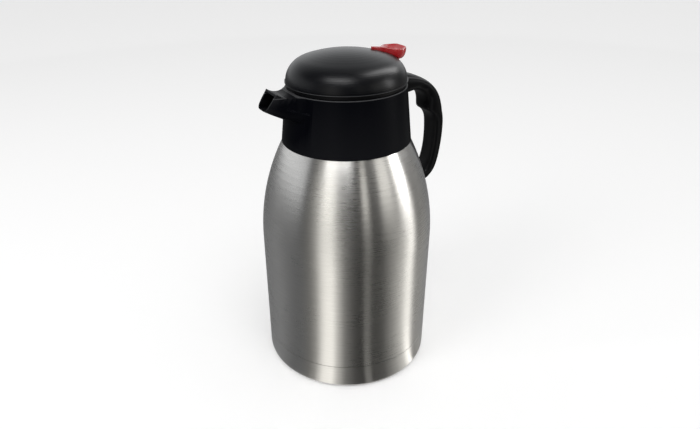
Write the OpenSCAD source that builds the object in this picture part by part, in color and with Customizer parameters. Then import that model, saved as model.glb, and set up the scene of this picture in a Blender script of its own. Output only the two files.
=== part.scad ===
// Thermal carafe: a double-walled steel flask with a black collar, spout and handle,
// closed by a screw-in pour-through lid whose red thumb lever lifts a valve.
// X runs from the spout (-X) to the handle (+X), Z is up, and the origin is the middle
// of the base on the plane that the carafe stands on. Millimetres.

/* [Flask] */
// Outside diameter of the steel body
body_d = 140; // [136:1:146]
// Height of the straight wall, where the shoulder starts
body_straight_z = 114; // [106:1:118]
// Radius of the shoulder's arc
shoulder_r = 175; // [170:1:190]
// Height of the ledge that the collar sits on
ledge_z = 195.5; // [193:0.5:198]
// Width of the ledge
ledge_w = 3.4; // [3:0.2:4]
// Height of the upright wall between the ledge and the neck cone
ledge_wall_h = 3.5; // [3:0.5:4]
// Distance from the ledge's inner edge in to the steel neck
neck_in = 8.46; // [8:0.02:9]
// Height of the top of the steel neck
neck_z = 216; // [214:0.5:217]
// Height at which the neck becomes straight
neck_root_z = 207.5; // [206:0.5:208]
// Sheet thickness of the outer shell and the base cup
shell_t = 0.6; // [0.4:0.1:0.8]
// Sheet thickness of the liner
liner_t = 0.5; // [0.4:0.1:0.7]
// Width of the vacuum between the two walls
vacuum_gap = 4.9; // [4:0.1:6]
// Radial gap between the liner and the neck
liner_fit = 0.1; // [0.05:0.05:0.2]
// Height of the underside of the liner's floor
liner_floor_z = 11; // [10:0.5:16]
// Corner radius of the liner's floor
liner_corner_r = 12; // [8:1:16]
// Thickness of the liner's rolled lip
liner_lip_t = 0.8; // [0.6:0.1:1]

/* [Base] */
// Height of the seam between the shell and the base cup
seam_z = 22; // [18:1:28]
// Height of the fine groove at the seam
seam_groove = 0.4; // [0.2:0.1:0.8]
// Height of the cup's lip inside the shell
cup_lip_h = 5; // [3:0.5:8]
// Corner radius of the base
base_corner_r = 3; // [2:0.5:4]
// Width of the standing rim
rim_w = 5; // [4:0.5:6]
// Height of the recessed floor
recess_z = 4.6; // [4:0.2:6]
// Thickness of the rubber foot ring
foot_t = 0.8; // [0.6:0.1:1.5]
// Width of the rubber foot ring
foot_w = 4; // [3:0.5:4.5]
// Diameter of the evacuation seal
seal_d = 12; // [8:1:16]
// Thickness of the evacuation seal
seal_t = 1.2; // [0.8:0.2:2]
// Diameter of the getter capsule
getter_d = 14; // [10:1:18]
// Thickness of the getter capsule
getter_t = 2.5; // [1.5:0.5:3]

/* [Collar] */
// How far the collar's foot stands out from the shoulder
collar_out = 0.44; // [0.2:0.02:1]
// How far the collar's rim stands in from its foot
rim_in = 4.4; // [4:0.1:4.8]
// Height of the collar's rim
rim_z = 237.7; // [236:0.5:240]
// Wall thickness of the collar
collar_t = 2.5; // [2:0.1:3]
// Radius of the rim's outer edge
rim_edge_r = 0.7; // [0.4:0.1:1]
// Thickness of the neck gasket
gasket_t = 0.8; // [0.6:0.1:1.2]
// Width of the neck gasket
gasket_w = 1.2; // [1:0.1:1.2]
// Thickness of the pour chamber's floor
chamber_floor_t = 2.2; // [1.8:0.2:2.6]
// Wall thickness of the rim outside the thread seat
seat_t = 2.9; // [2.5:0.1:3.1]
// Height of the thread seat
seat_h = 6.2; // [5.6:0.2:6.6]
// Height of the collar's sleeve below the chamber floor
sleeve_h = 8.5; // [6:0.5:9]
// Wall thickness of the sleeve
sleeve_t = 2; // [1.6:0.2:2.4]
// Radial gap between the sleeve and the neck
sleeve_fit = 0.2; // [0.1:0.1:0.4]

/* [Spout] */
// Distance from the rim to the mouth's upper edge
mouth_out = 14.4; // [12:0.1:18]
// Height of the mouth's upper edge above the rim
mouth_rise = 2.3; // [1.3:0.2:3.3]
// Lean of the mouth plane from upright, in degrees
mouth_lean = 35; // [30:1:38]
// Length of the mouth along its plane
mouth_h = 14.6; // [14:0.2:16]
// Width of the mouth at its upper edge
mouth_w = 19.4; // [17:0.2:22]
// Width of the mouth's lower corners
mouth_low_w = 17.6; // [16:0.2:19]
// Radius of the mouth's lower corners
mouth_r = 5; // [4:0.5:6]
// Wall thickness of the spout
spout_t = 2; // [1.6:0.2:2.4]
// Width of the spout's top at its root
root_top_w = 30; // [26:1:34]
// Width of the spout's root at the collar
root_w = 42; // [38:1:46]
// Height of the lowest point of the root
root_z = 217; // [215:0.5:218]
// Radius of the root's lower corners
root_r = 9; // [7:1:10]
// How far the root section lies inside the rim
root_in = 4.9; // [4:0.1:6]
// Width of the pour channel at its root
channel_w = 26; // [20:1:30]
// Height of the pour channel at its root
channel_h = 10; // [8:0.5:11]
// Radius of the dish across the spout's top
dish_r = 16; // [12:0.5:20]
// Distance from the rim to the dish's lowest line
dish_out = 4.1; // [3:0.1:6]
// Depth of the dish's lowest line below the rim
dish_drop = 1.1; // [0.1:0.2:1.7]

/* [Handle] */
// Width of the arm at the collar
arm_w = 25; // [24:1:28]
// Width of the grip
grip_w = 18; // [17:1:20]
// Width of the finger rest
rest_w = 22; // [21:1:23]
// Squareness of the handle's section
handle_square = 3; // [2.6:0.1:3.2]
// Wall thickness of the handle shell
handle_t = 2; // [1.6:0.2:2.4]
// Thickness of the handle cover
cover_t = 3; // [2.4:0.2:3.4]
// Gap between the handle and what it is trimmed to
handle_fit = 0.1; // [0.05:0.05:0.2]
// Width of the lug that carries the handle at the collar
lug_w = 12; // [10:1:14]
// Height of the lug
lug_h = 4.6; // [4:0.2:5]
// Depth of the lug's underside below the rim
lug_drop = 7.9; // [7.5:0.1:8.3]
// Length of the lug beyond the collar's rim
lug_l = 14.1; // [13.1:0.5:15.1]
// Distance from the collar's rim to the upper screw
screw_top_out = 9.1; // [8.6:0.1:9.6]
// Distance from the shell to the lower screw
screw_foot_out = 3.5; // [3.4:0.1:3.8]
// Length of the upper screw
screw_top_l = 7.5; // [6:0.5:8]
// Length of the lower screw
screw_foot_l = 4; // [3.5:0.5:4.5]
// Distance from the lug down to the upper screw's head seat
head_top_drop = 1.8; // [1.6:0.1:2]
// Distance from the bracket's tab down to the lower screw's head seat
head_foot_drop = 1.8; // [1.7:0.1:1.9]
// Height of the foot bracket's tab
bracket_z = 147.9; // [147.8:0.1:148]
// Height of the foot bracket's welded plate
bracket_h = 2.4; // [2:0.2:2.4]
// Thickness of the foot bracket
bracket_t = 1.5; // [1:0.1:2]
// Width of the foot bracket
bracket_w = 8; // [7:0.5:8.5]
// Diameter of the handle screws
screw_d = 3; // [2.5:0.5:3.5]
// Diameter of the handle screws' heads
screw_head_d = 5.5; // [5:0.5:6]
// Height of the screw heads
screw_head_h = 1.4; // [1.2:0.1:1.6]

/* [Lid] */
// How far the dome stands in from the rim, above its lower bead
dome_in = 0.5; // [0.2:0.1:0.8]
// How far the lower bead stands out
bead_t = 0.6; // [0.4:0.1:0.8]
// Height of the lower bead
bead_h = 0.8; // [0.6:0.1:1.4]
// Gap between the rim and the dome's lower edge
dome_gap = 3; // [2.2:0.2:3.4]
// Corner radius of the dome
dome_corner_r = 17.5; // [16:0.5:20]
// Height of the upright wall under the dome's corner
dome_wall_h = 0.1; // [0.1:0.1:1]
// Lean of the dome where its corner meets its crown, in degrees
dome_turn = 72; // [70:1:74]
// Wall thickness of the dome
dome_t = 2; // [1.6:0.1:2.4]
// Diameter of the three lid bosses
boss_d = 8; // [7:0.5:9]
// Distance from the tube's inner face to the middle of a lid boss
boss_in = 6.9; // [6:0.1:9]
// Diameter of the lid screws
lid_screw_d = 3; // [2.5:0.5:3.5]
// Length of the lid screws
lid_screw_l = 12; // [10:1:14]

/* [Stopper] */
// Radial gap between the stopper's tube and the liner's mouth
tube_fit = 0.9; // [0.8:0.1:1.1]
// Wall thickness of the tube
tube_t = 2; // [1.6:0.2:2.4]
// Height of the underside of the stopper
stopper_z = 204; // [202:0.5:206]
// Thickness of the stopper's floor
stopper_floor_t = 2.4; // [2:0.2:3]
// Diameter of the valve seat's hole
seat_hole_d = 26; // [22:1:28]
// Height of the seat's raised edge
seat_edge_h = 0.8; // [0.6:0.1:1]
// Height of the lower edge of the pour windows
window_z = 220.5; // [220.2:0.1:221]
// Height of the pour windows
window_h = 8.5; // [8:0.5:9]
// Width of one pour window
window_w = 24; // [20:1:26]
// Height of the bar over the pour windows
window_bar_h = 0.5; // [0.4:0.1:0.8]
// Number of pour windows
window_n = 6; // [4:1:7]
// Thickness of the stopper's deck
deck_t = 2; // [1.6:0.2:2.4]
// Radial play of the stopper's thread in the collar
thread_play = 0.4; // [0.3:0.1:0.5]
// Height of one thread ridge
thread_h = 1.4; // [1:0.2:1.6]
// Gap between a collar ridge and a stopper ridge
thread_gap = 0.2; // [0.1:0.1:0.3]
// Depth of the thread ridges
thread_t = 0.8; // [0.6:0.1:1]
// How far the stopper's flange stands in from the rim
flange_in = 1.3; // [1.1:0.1:1.6]
// Height of the spigot that centres the dome
spigot_h = 2; // [1.5:0.5:3]
// Radial gap between the spigot and the dome
spigot_fit = 0.2; // [0.1:0.1:0.3]
// Gap between the flange and the rim it stops on
flange_fit = 0.2; // [0.1:0.1:0.4]
// Height of the sealing ring
ring_h = 3; // [2.4:0.2:3.6]
// Height of the sealing ring's underside
ring_z = 210; // [209:0.5:212]
// Radial play of the sealing ring in the liner's mouth
ring_play = 0.3; // [0.2:0.1:0.4]
// Depth of the ring's groove in the tube
groove_t = 1; // [0.8:0.1:1.2]

/* [Valve and lever] */
// Diameter of the valve stem
stem_d = 6; // [5:0.5:7]
// Radial play of the stem in its guide
stem_play = 0.1; // [0.08:0.01:0.2]
// Diameter of the valve disc
disc_d = 33; // [31:1:36]
// Thickness of the valve disc
disc_t = 2.4; // [2:0.2:3]
// Diameter of the valve's silicone seal
valve_seal_d = 31; // [30:0.5:31.5]
// Diameter of the seal's bore
seal_bore_d = 8; // [7.5:0.5:9]
// Diameter of the button that holds the seal
button_d = 12; // [11:0.5:13]
// Thickness of that button
button_t = 1.9; // [1.5:0.1:2.2]
// Diameter of the stem's tenon in its cap
tenon_d = 5; // [4:0.5:5]
// Thickness of the cap over the tenon
cap_skin_t = 1; // [0.8:0.1:1.2]
// Thickness of the valve's silicone seal
valve_seal_t = 1.2; // [1:0.1:1.6]
// Gap between the closed seal and its seat
valve_fit = 0.1; // [0.05:0.05:0.2]
// Diameter of the stem's cap
cap_d = 15; // [14:0.5:17]
// Thickness of the stem's cap
cap_t = 3; // [2.4:0.2:3.6]
// Distance from the lever's pin down to the cap's underside
cap_drop = 2; // [1.5:0.1:2.5]
// Gap between the lever's prongs and the cap at rest
tip_fit = 0.3; // [0.2:0.1:0.4]
// Height of the guide above the deck
guide_h = 7; // [5:0.5:9]
// Diameter of the guide
guide_d = 13; // [11:0.5:14]
// Wire of the return spring
wire_d = 1; // [0.8:0.1:1.2]
// Mean diameter of the return spring
coil_d = 11; // [10:0.5:12]
// Number of turns of the return spring
coil_n = 6; // [5:1:7]
// Distance from the axis to the lever's pin
pin_x = 24; // [23:0.5:25]
// Height of the lever's pin above the rim
pin_rise = 15.3; // [14.8:0.1:15.8]
// Diameter of the lever's pin
pin_d = 3; // [2.5:0.1:3.2]
// Radial play of the lever on its pin
pin_play = 0.08; // [0.05:0.01:0.1]
// Diameter of the lever's hub
hub_d = 6.4; // [6:0.2:7]
// Half width of the lever's hub
hub_half = 6.9; // [6.5:0.1:7]
// Gap between the hub and the ears
ear_fit = 0.4; // [0.3:0.1:0.6]
// Thickness of the ears that hold the pin
ear_t = 2.5; // [2:0.1:3]
// Front end of the lever, from the axis
lever_front_x = 21.5; // [21:0.5:22]
// Width of the lever at its front
lever_front_w = 4; // [3.5:0.5:5]
// Distance from the axis to the waist, where the lever starts to flare
lever_waist_x = 31; // [29:0.5:32]
// Rear end of the lever, from the axis
lever_rear_x = 48.4; // [47.6:0.2:50]
// Width of the lever at its rear
lever_rear_w = 22.6; // [20:0.2:23]
// Radius of the lever's rear corners
lever_corner_r = 7; // [6:0.5:8]
// Height of the lever's top above its pin, at the front
lever_rise = 9.4; // [8.8:0.2:9.6]
// How far the lever's top falls from front to rear
lever_fall = 2.4; // [1.8:0.2:2.6]
// How far the lever's rear end turns up again
lever_lift = 1; // [0.4:0.2:1.4]
// Height of the lever at its front
lever_front_h = 4.4; // [4:0.2:4.8]
// Height of the upright edge round the lever's rear
edge_h = 1; // [0.8:0.2:1.4]
// Height of the rounding under the lever's rear
chin_h = 6.5; // [6:0.1:6.6]
// Distance from the axis to the rear face of the lever's neck
neck_x = 40; // [39.5:0.5:41]
// Height of the lever's neck
neck_h = 3.5; // [3:0.1:3.6]
// Depth of the web in front of the neck
web_t = 2.5; // [2:0.5:3]
// How far the web runs up into the lever's body
web_lap = 0.6; // [0.4:0.1:0.8]
// Radius of the tips of the lever's two prongs
tip_r = 2.2; // [2:0.1:2.4]
// Gap between the prongs and the stem
fork_fit = 0.8; // [0.6:0.1:1]
// Depth of the thumb scoop
scoop_depth = 2.2; // [1.6:0.2:2.6]
// Width of the rim round the scoop
scoop_rim = 1.6; // [1.4:0.2:2]
// Gap between the lever and the dome's slot
slot_fit = 0.5; // [0.4:0.1:0.7]
// Depth of the slot's floor below the lever's pin
slot_drop = 6.7; // [6.5:0.1:7.1]

/* [Hidden] */
$fn = 96;
SMALL_FN = 32;
ARC_N = 8;
LONG_ARC_N = 16;
SECTION_N = 20;
TOP_CURVE = 1.6;
SLICE = 0.02;
FAR = 400;

// ---- derived sizes: flask
body_r = body_d / 2;
liner_inset = shell_t + vacuum_gap;
liner_r = body_r - liner_inset;
rim_in_r = body_r - base_corner_r - rim_w;
lip_top = neck_z + liner_lip_t;
// Radius of the shoulder, set in by t, at height z
function shoulder(t, z) =
    body_r - shoulder_r + sqrt(pow(shoulder_r - t, 2) - pow(z - body_straight_z, 2));
// Height at which the shoulder, set in by t, reaches radius r
function shoulder_z(t, r) =
    body_straight_z + sqrt(pow(shoulder_r - t, 2) - pow(r - body_r + shoulder_r, 2));
ledge_r = shoulder(0, ledge_z) - ledge_w;
neck_r = ledge_r - neck_in;
liner_neck_r = neck_r - shell_t - liner_fit;
mouth_r_in = liner_neck_r - liner_t;
function steps(a, b, n) = [for (k = [0:n]) a + (b - a) * k / n];
function arc(cx, cy, r, a, b, n) = [for (t = steps(a, b, n)) [cx + r * cos(t), cy + r * sin(t)]];

// ---- derived sizes: collar
floor_z = lip_top + gasket_t;
floor_top = floor_z + chamber_floor_t;
seat_z = rim_z - seat_h;
foot_r = shoulder(0, ledge_z) + collar_out;
rim_r = foot_r - rim_in;
function collar_r(z) = foot_r - rim_in * (z - ledge_z) / (rim_z - ledge_z);
seat_r = rim_r - seat_t;
mouth_x = rim_r + mouth_out;
mouth_z = rim_z + mouth_rise;
root_x = rim_r - root_in;
dish_x = rim_r + dish_out;
dish_z = rim_z - dish_drop;
lug_z = rim_z - lug_drop;
head_top_z = lug_z - head_top_drop;
head_foot_z = bracket_z - head_foot_drop;
screw_top_x = rim_r + screw_top_out;
// Where the handle's foot meets the shell
foot_x = shoulder(0, bracket_z);
screw_foot_x = foot_x + screw_foot_out;

crest_h = thread_h / 2;
ridge_pitch = 2 * thread_h + thread_gap;
ridge_z = [seat_z + thread_h, seat_z + thread_h + ridge_pitch];

// ---- derived sizes: lid
dome_r = rim_r - dome_in;
dome_z = rim_z + dome_gap;
corner_z = dome_z + dome_wall_h;
turn_r = dome_r - dome_corner_r + dome_corner_r * cos(dome_turn);
turn_z = corner_z + dome_corner_r * sin(dome_turn);
crown_r = turn_r / cos(dome_turn);
crown_z = turn_z - crown_r * sin(dome_turn);
tube_r = mouth_r_in - tube_fit;
tube_in_r = tube_r - tube_t;
boss_ring_r = tube_in_r - boss_in;
stopper_floor_top = stopper_z + stopper_floor_t;
seat_top = stopper_floor_top + seat_edge_h;
window_top = window_z + window_h;
deck_z = window_top + window_bar_h;
deck_top = deck_z + deck_t;
core_r = seat_r - 2 * thread_t - thread_play;
cup_z = seat_z + thread_play;
flange_z = rim_z + flange_fit;
flange_r = rim_r - flange_in;
dome_in_r = dome_r - dome_t;
seal_z = seat_top + valve_fit;
disc_z = seal_z + valve_seal_t;
disc_top = disc_z + disc_t;
guide_top = deck_top + guide_h;
ears_w = 2 * (hub_half + ear_fit + ear_t);
pin_z = rim_z + pin_rise;
cap_z = pin_z - cap_drop;
tip_z = cap_z - tip_fit - tip_r;
slot_z = pin_z - slot_drop;
lever_front_z = pin_z + lever_rise;
lever_rear_z = lever_front_z - lever_fall;
web_x = pin_x + hub_d / 2 + web_t;
neck_top_z = lever_rear_z - edge_h - chin_h;
neck_low_z = neck_top_z - neck_h;
front_low_z = lever_front_z - lever_front_h;
lever_corner_x = lever_rear_x - lever_corner_r;
lever_corner_y = lever_rear_w / 2 - lever_corner_r;

// ---- flask
// Half of a hollow's outline, set in by t and open towards the axis
module inset_side(points, t) {
    offset(delta = -t)
        polygon(points);
}

module band(low, high) {
    translate([0, low])
        square([FAR, high - low]);
}

shell_side = concat(
    [[-FAR, -FAR], [body_r, -FAR]],
    [for (z = steps(body_straight_z, ledge_z, LONG_ARC_N)) [shoulder(0, z), z]],
    [[ledge_r, ledge_z], [ledge_r, ledge_z + ledge_wall_h],
     [neck_r, neck_root_z], [neck_r, FAR], [-FAR, FAR]]);

module outer_shell() {
    color("silver")
        rotate_extrude()
            intersection() {
                difference() {
                    polygon(shell_side);
                    inset_side(shell_side, shell_t);
                }
                band(seam_z + seam_groove / 2, neck_z);
            }
}

cup_side = concat(
    [[-FAR, recess_z], [rim_in_r, recess_z], [rim_in_r, foot_t]],
    arc(body_r - base_corner_r, foot_t + base_corner_r, base_corner_r, -90, 0, ARC_N),
    [[body_r, FAR], [-FAR, FAR]]);

module base_cup() {
    lip_r = body_r - shell_t - liner_fit;
    color("silver")
        rotate_extrude()
            union() {
                intersection() {
                    difference() {
                        polygon(cup_side);
                        inset_side(cup_side, shell_t);
                    }
                    band(0, seam_z - seam_groove / 2);
                }
                translate([lip_r - shell_t, seam_z - cup_lip_h])
                    square([shell_t, 2 * cup_lip_h]);
                translate([lip_r - shell_t, seam_z - cup_lip_h])
                    square([body_r - lip_r + shell_t / 2, cup_lip_h - seam_groove]);
            }
}

module foot_ring() {
    color("black")
        rotate_extrude()
            translate([rim_in_r + (rim_w - foot_w) / 2, 0])
                square([foot_w, foot_t]);
}

module evacuation_seal() {
    color("gray")
        translate([0, 0, recess_z - seal_t])
            cylinder(d = seal_d, h = seal_t);
}

module getter() {
    color("gray")
        translate([0, 0, recess_z + shell_t])
            cylinder(d = getter_d, h = getter_t);
}

liner_side = concat(
    [[-FAR, liner_floor_z]],
    arc(liner_r - liner_corner_r, liner_floor_z + liner_corner_r, liner_corner_r, -90, 0,
        LONG_ARC_N),
    [for (z = steps(body_straight_z, shoulder_z(liner_inset, liner_neck_r), LONG_ARC_N))
        [shoulder(liner_inset, z), z]],
    [[liner_neck_r, FAR], [-FAR, FAR]]);

module inner_liner() {
    color("gainsboro")
        rotate_extrude()
            union() {
                intersection() {
                    difference() {
                        polygon(liner_side);
                        inset_side(liner_side, liner_t);
                    }
                    band(0, lip_top);
                }
                translate([mouth_r_in, neck_z])
                    square([neck_r - mouth_r_in, liner_lip_t]);
            }
}

module neck_gasket() {
    color("white")
        rotate_extrude()
            translate([neck_r + liner_fit - gasket_w, lip_top])
                square([gasket_w, gasket_t]);
}

// ---- collar and spout
// A trough's section: flat top at zero, straight sides, two round lower corners
function trough(w_top, w_low, h, r) = concat(
    [[w_top / 2, 0]],
    arc(w_low / 2 - r, r - h, r, 0, -90, ARC_N),
    arc(r - w_low / 2, r - h, r, -90, -180, ARC_N),
    [[-w_top / 2, 0]]);

// Stands a section up across the spout, x from the axis, with its top at height z
module stand(x, z, lean) {
    translate([-x, 0, z])
        rotate([0, lean, 0])
            rotate([90, 0, 90])
                linear_extrude(height = SLICE, center = true)
                    children();
}

module spout_outside() {
    hull() {
        stand(mouth_x, mouth_z, mouth_lean)
            polygon(trough(mouth_w, mouth_low_w, mouth_h, mouth_r));
        stand(root_x, rim_z, 0)
            polygon(trough(root_top_w, root_w, rim_z - root_z, root_r));
    }
}

// The pour channel, from inside the pour chamber to past the mouth
module spout_channel() {
    hull() {
        stand(mouth_x + spout_t, mouth_z - spout_t / 2, mouth_lean)
            polygon(trough(mouth_w - 2 * spout_t, mouth_low_w - 2 * spout_t,
                           mouth_h - spout_t, mouth_r - spout_t));
        stand(root_x - spout_t, seat_z - thread_play, 0)
            polygon(trough(channel_w, channel_w, channel_h, mouth_r - spout_t));
    }
}

module collar() {
    color("black")
        difference() {
            union() {
                rotate_extrude()
                    polygon(concat(
                        [[mouth_r_in, floor_z], [mouth_r_in, ledge_z], [foot_r, ledge_z]],
                        arc(collar_r(rim_z) - rim_edge_r, rim_z - rim_edge_r, rim_edge_r, 0, 90,
                            ARC_N),
                        [[mouth_r_in, rim_z]]));
                spout_outside();
                translate([rim_r - collar_t, -lug_w / 2, lug_z])
                    cube([lug_l + collar_t, lug_w, lug_h]);
            }
            // the space under the chamber's floor, round the sleeve
            rotate_extrude()
                polygon([[neck_r + sleeve_fit + sleeve_t, floor_z],
                         [neck_r + sleeve_fit + sleeve_t, floor_z - sleeve_h],
                         [0, floor_z - sleeve_h], [0, 0], [foot_r - collar_t, 0],
                         [foot_r - collar_t, ledge_z],
                         [collar_r(floor_z) - collar_t, floor_z]]);
            cylinder(r = neck_r + sleeve_fit, h = floor_z);
            cylinder(r = mouth_r_in, h = FAR);
            // the pour chamber
            rotate_extrude()
                polygon([[0, floor_top], [collar_r(floor_top) - collar_t, floor_top],
                         [collar_r(seat_z) - collar_t, seat_z], [0, seat_z]]);
            // the thread seat, and room over the rim for the stopper's flange
            translate([0, 0, seat_z - SLICE])
                cylinder(r = seat_r, h = FAR);
            translate([0, 0, rim_z])
                cylinder(r = flange_r + flange_fit, h = FAR);
            spout_channel();
            translate([-dish_x, 0, dish_z + dish_r])
                rotate([90, 0, 0])
                    cylinder(r = dish_r, h = root_w, center = true);
            translate([screw_top_x, 0, lug_z - SLICE])
                cylinder(d = screw_d, h = lug_h + 2 * SLICE);
        }
    color("black")
        for (z = ridge_z)
            translate([0, 0, z])
                thread_ridge(seat_r - thread_t, seat_r + thread_t);
}

// A plain ring that stands for one turn of a thread
module thread_ridge(r_in, r_out) {
    rotate_extrude()
        polygon([[r_in, (thread_h - crest_h) / 2], [r_out, 0], [r_out, thread_h],
                 [r_in, (thread_h + crest_h) / 2]]);
}

// ---- handle
// Stations from the collar round to the foot: outer point, inner point, width. The arm's
// points are measured out and up from the collar's rim. The grip's are measured out from the
// shell at the foot, and up from the table. blend_w is a width between rest and grip.
function blend_w(share) = rest_w + (grip_w - rest_w) * share;
arm_stations = [
    [[-1.9, 2.5], [-1.9, -14.3], arm_w],
    [[6.1, 1.5], [6.1, -12.7], arm_w - 1],
    [[13.1, -0.3], [11.7, -11.9], rest_w + 1],
    [[20.5, -3.5], [16.1, -12.9], rest_w],
    [[27.1, -7.7], [19.9, -15.1], rest_w],
    [[32.9, -13.3], [22.3, -18.3], rest_w]];
grip_stations = [
    [[16.3, 217.8], [2.7, 215], blend_w(0)],
    [[19.2, 210], [2.7, 211], blend_w(0.1)],
    [[20.2, 206], [3.5, 208], blend_w(0.2)],
    [[21.1, 201.6], [8.5, 204.2], blend_w(0.35)],
    [[21.8, 196], [11.6, 198.6], blend_w(0.55)],
    [[22.2, 189], [12.5, 189.4], blend_w(0.75)],
    [[22, 180.4], [12.5, 180.4], blend_w(0.9)],
    [[21.2, 172], [11.9, 172.6], grip_w],
    [[19.9, 164.6], [10.8, 165.8], grip_w],
    [[18.1, 158], [9.3, 160.4], grip_w],
    [[15.5, 152.6], [7.5, 156.6], grip_w],
    [[11.7, 148.4], [5.1, 154.2], grip_w],
    [[7.3, 145.6], [2.3, 153], grip_w],
    [[-2.7, 143.4], [-2.7, 152.6], grip_w]];
function moved(list, by) = [for (st = list) [st[0] + by, st[1] + by, st[2]]];
stations = concat(moved(arm_stations, [rim_r, rim_z]), moved(grip_stations, [foot_x, 0]));

// Half a rounded section between a station's two points, skin inside its outline. It is the
// half beyond a depth from the inner point when outer is true, and the half before it when not.
function section(st, skin, depth, outer) =
    let (e = st[0] - st[1], t = norm(e), m = (st[0] + st[1]) / 2, half = t / 2 - skin,
         k = (depth - t / 2) / half, p = 2 / handle_square,
         edge = acos(sign(k) * pow(abs(k), 1 / p)))
        [for (a = outer ? steps(-edge, edge, SECTION_N) : steps(edge, 360 - edge, SECTION_N))
            let (u = half * sign(cos(a)) * pow(abs(cos(a)), p) / t,
                 v = (st[2] / 2 - skin) * sign(sin(a)) * pow(abs(sin(a)), p))
                [m[0] + u * e[0], v, m[1] + u * e[1]]];

// Joins a row of sections of equal point counts into one closed solid
module loft(rings) {
    n = len(rings[0]);
    last = (len(rings) - 1) * n;
    walls = [for (k = [0:len(rings) - 2], j = [0:n - 1])
        let (a = k * n + j, b = k * n + (j + 1) % n)
            each [[a, b, b + n], [a, b + n, a + n]]];
    polyhedron([for (ring = rings) each ring],
        concat(walls, [[for (j = [n - 1:-1:0]) j], [for (j = [0:n - 1]) last + j]]),
        convexity = 8);
}

module handle_loop(skin, depth, outer) {
    loft([for (st = stations) section(st, skin, depth, outer)]);
}

// What the handle's ends are cut back to: collar, dome and shell
module handle_stops() {
    rotate_extrude()
        polygon([[0, ledge_z - collar_t], [foot_r + handle_fit, ledge_z - collar_t],
                 [collar_r(rim_z) + handle_fit, rim_z + handle_fit],
                 [dome_r + 2 * bead_t, rim_z + handle_fit], [dome_r + 2 * bead_t, FAR], [0, FAR]]);
    rotate_extrude()
        intersection() {
            inset_side(shell_side, -handle_fit);
            band(0, ledge_z);
        }
}

module screw_holes() {
    translate([screw_top_x, 0, 0]) {
        cylinder(d = screw_head_d + handle_fit, h = head_top_z);
        cylinder(d = screw_d + handle_fit, h = lug_z);
    }
    translate([screw_foot_x, 0, 0]) {
        cylinder(d = screw_head_d + handle_fit, h = head_foot_z);
        cylinder(d = screw_d + handle_fit, h = bracket_z);
    }
}

module handle_shell() {
    color("black")
        difference() {
            handle_loop(0, cover_t, true);
            handle_loop(handle_t, cover_t - SLICE, true);
            handle_stops();
            screw_holes();
        }
}

module handle_cover() {
    color("black")
        difference() {
            handle_loop(0, cover_t, false);
            handle_stops();
            screw_holes();
        }
}

module foot_bracket() {
    color("silver")
        difference() {
            union() {
                translate([neck_r, -bracket_w / 2, bracket_z + bracket_t / 2 - bracket_h / 2])
                    cube([shoulder(0, bracket_z) + bracket_t - neck_r, bracket_w, bracket_h]);
                translate([neck_r, -bracket_w / 2, bracket_z])
                    cube([screw_foot_x + screw_head_d / 2 - neck_r, bracket_w, bracket_t]);
            }
            rotate_extrude()
                intersection() {
                    polygon(shell_side);
                    band(0, ledge_z);
                }
            translate([screw_foot_x, 0, 0])
                cylinder(d = screw_d, h = FAR);
        }
}

// A screw that points up, with its head's top at height zero
module screw(d, l, head_d, head_h) {
    cylinder(d = d, h = l);
    translate([0, 0, -head_h])
        cylinder(d = head_d, h = head_h);
}

module handle_screws() {
    color("silver") {
        translate([screw_top_x, 0, head_top_z])
            screw(screw_d, screw_top_l, screw_head_d, screw_head_h);
        translate([screw_foot_x, 0, head_foot_z])
            screw(screw_d, screw_foot_l, screw_head_d, screw_head_h);
    }
}

// ---- stopper
module stopper_ring() {
    color("white")
        rotate_extrude()
            translate([tube_r - groove_t + ring_play, ring_z])
                square([mouth_r_in - ring_play - tube_r + groove_t - ring_play, ring_h]);
}

module stopper() {
    color("dimgray") {
        difference() {
            rotate_extrude()
                polygon([
                    [seat_hole_d / 2, stopper_z], [tube_r, stopper_z],
                    [tube_r, ring_z - handle_fit], [tube_r - groove_t, ring_z - handle_fit],
                    [tube_r - groove_t, ring_z + ring_h + handle_fit],
                    [tube_r, ring_z + ring_h + handle_fit],
                    [tube_r, cup_z], [core_r, cup_z], [core_r, flange_z], [flange_r, flange_z],
                    [flange_r, dome_z], [dome_in_r - spigot_fit, dome_z],
                    [dome_in_r - spigot_fit, dome_z + spigot_h],
                    [core_r - tube_t, dome_z + spigot_h], [core_r - tube_t, cup_z + deck_t],
                    [tube_in_r, cup_z + deck_t], [tube_in_r, deck_top],
                    [guide_d / 2, deck_top], [guide_d / 2, guide_top],
                    [stem_d / 2 + stem_play, guide_top], [stem_d / 2 + stem_play, deck_z],
                    [tube_in_r, deck_z], [tube_in_r, stopper_floor_top],
                    [seat_hole_d / 2 + tube_t, stopper_floor_top],
                    [seat_hole_d / 2 + tube_t, seat_top], [seat_hole_d / 2, seat_top]]);
            for (k = [0:window_n - 1])
                rotate([0, 0, 360 * k / window_n])
                    translate([disc_d / 2, -window_w / 2, window_z])
                        cube([tube_r, window_w, window_h]);
            lid_bosses()
                cylinder(d = lid_screw_d, h = FAR);
        }
        translate([0, 0, ridge_z[0] + thread_h + thread_gap / 2])
            thread_ridge_out();
    }
}

module thread_ridge_out() {
    rotate_extrude()
        polygon([[core_r - thread_t, 0], [core_r + thread_t, (thread_h - crest_h) / 2],
                 [core_r + thread_t, (thread_h + crest_h) / 2], [core_r - thread_t, thread_h]]);
}

// Places a child at each lid screw
module lid_bosses() {
    for (a = [60, 180, 300])
        rotate([0, 0, a])
            translate([boss_ring_r, 0, 0])
                children();
}

// ---- dome
dome_side = concat(
    [[-FAR, -FAR], [dome_r, -FAR]],
    arc(dome_r - dome_corner_r, corner_z, dome_corner_r, 0, dome_turn, LONG_ARC_N),
    arc(0, crown_z, crown_r, dome_turn + 1, 90, ARC_N),
    [[-FAR, crown_z + crown_r]]);

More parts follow.
